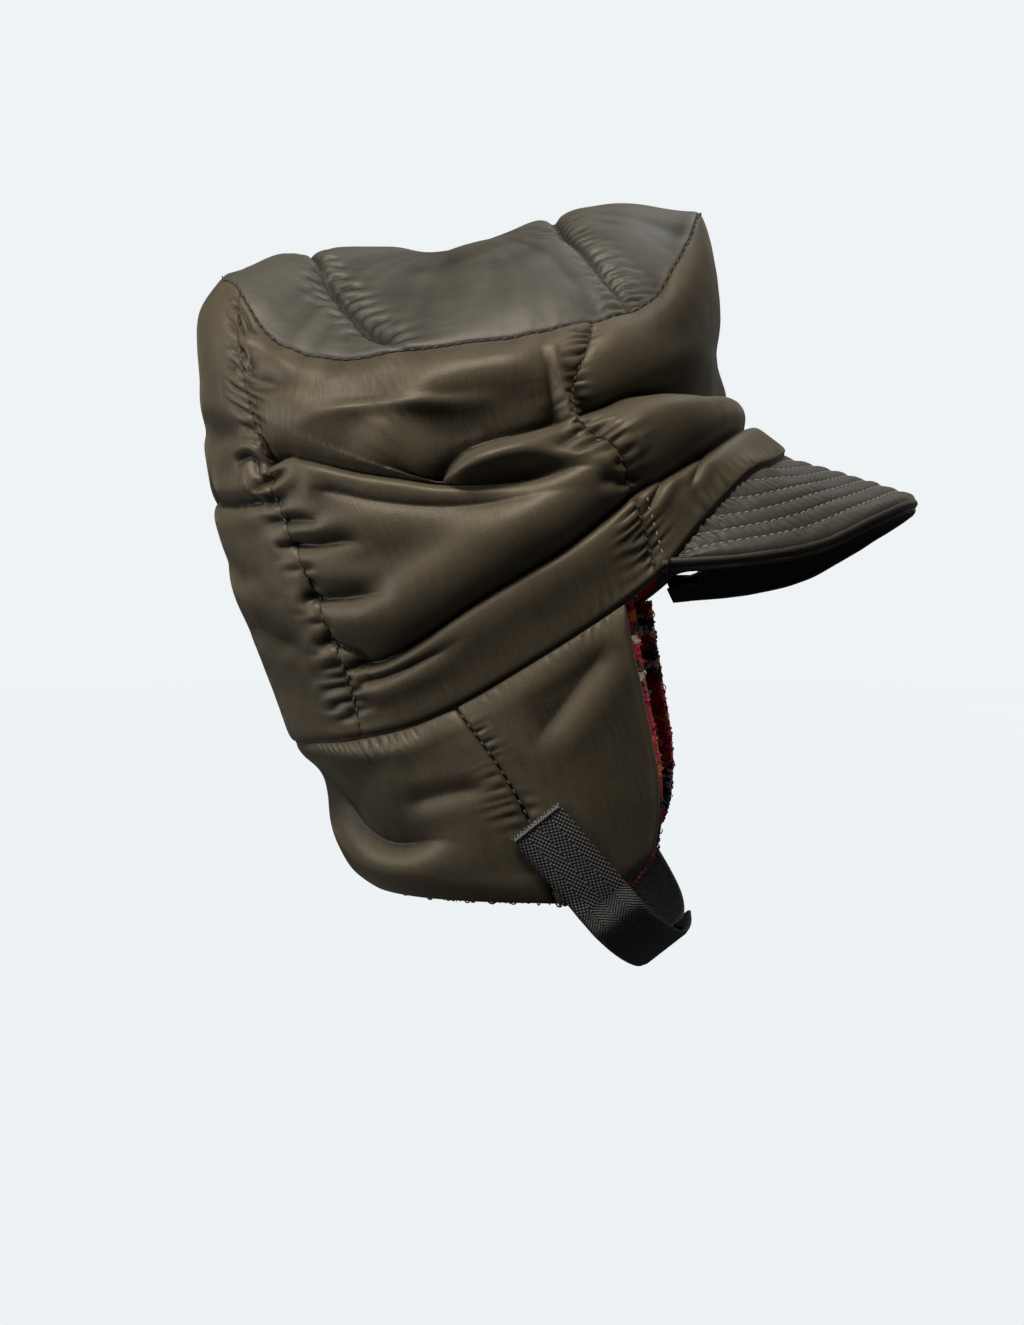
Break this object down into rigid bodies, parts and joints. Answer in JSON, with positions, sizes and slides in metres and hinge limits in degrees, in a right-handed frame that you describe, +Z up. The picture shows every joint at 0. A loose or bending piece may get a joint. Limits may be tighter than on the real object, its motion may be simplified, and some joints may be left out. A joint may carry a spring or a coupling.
{
  "type": "padded winter work cap",
  "caption": "Padded nylon winter cap with a tall soft crown, short quilted peak, fleece-lined ear and neck flap and a webbing chin strap.",
  "frame": {"origin": "the middle of the head opening at the brow line, where the cap sits on a head", "axes": "+Z up as worn, -Y the way the wearer looks and the peak points, -X the wearer's right"},
  "size_m": [0.2054, 0.2974, 0.3152],
  "materials": {
    "nylon": "satin olive-brown nylon",
    "nylon_top": "satin greyed olive nylon",
    "nylon_peak": "satin olive nylon, stitched in rows",
    "peak_underside": "matt dark cloth",
    "fleece": "looped fleece in a red, black and cream plaid",
    "webbing": "black herringbone webbing",
    "hook_and_loop": "black hook-and-loop tape"
  },
  "bodies": {
    "root": {"crown_top": "nylon_top", "crown_front_panel": "nylon", "crown_right_panel": "nylon", "crown_back_panel": "nylon", "crown_left_panel": "nylon", "neck_flap": "nylon", "ear_flap_right": "nylon", "ear_flap_left": "nylon", "flap_lining": "fleece", "peak_top": "nylon_peak", "peak_facing": "peak_underside", "strap_right": "webbing", "strap_left": "webbing", "fastener_hook": "hook_and_loop", "fastener_loop": "hook_and_loop"}
  },
  "joints": []
}
